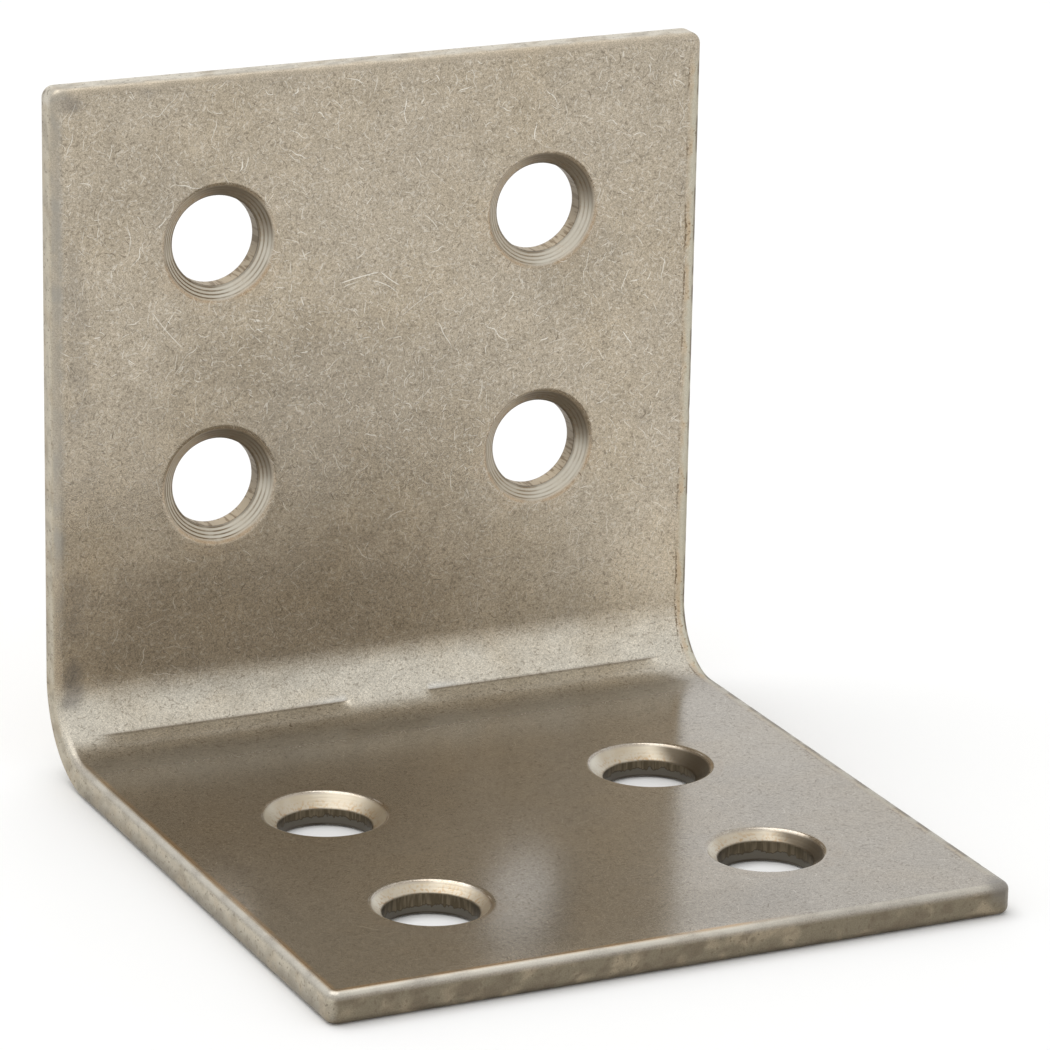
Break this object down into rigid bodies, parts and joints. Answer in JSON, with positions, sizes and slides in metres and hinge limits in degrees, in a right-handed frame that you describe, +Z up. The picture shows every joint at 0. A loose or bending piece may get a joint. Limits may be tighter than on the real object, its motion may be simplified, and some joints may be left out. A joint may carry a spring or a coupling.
{
  "type": "angle bracket",
  "caption": "Wide angle bracket folded from stainless sheet, with countersunk screw holes in both legs.",
  "frame": {"origin": "on the underside of the base leg, in the middle of the outline seen from above", "axes": "+Z up, base leg lying on Z = 0 and running to -Y, back leg standing at +Y, X along the fold"},
  "size_m": [0.04, 0.041, 0.04],
  "materials": {
    "steel": "tumbled satin, fine random scratches, faint brown tint at edges and holes"
  },
  "bodies": {
    "root": {"angle_bracket": "steel"}
  },
  "joints": []
}
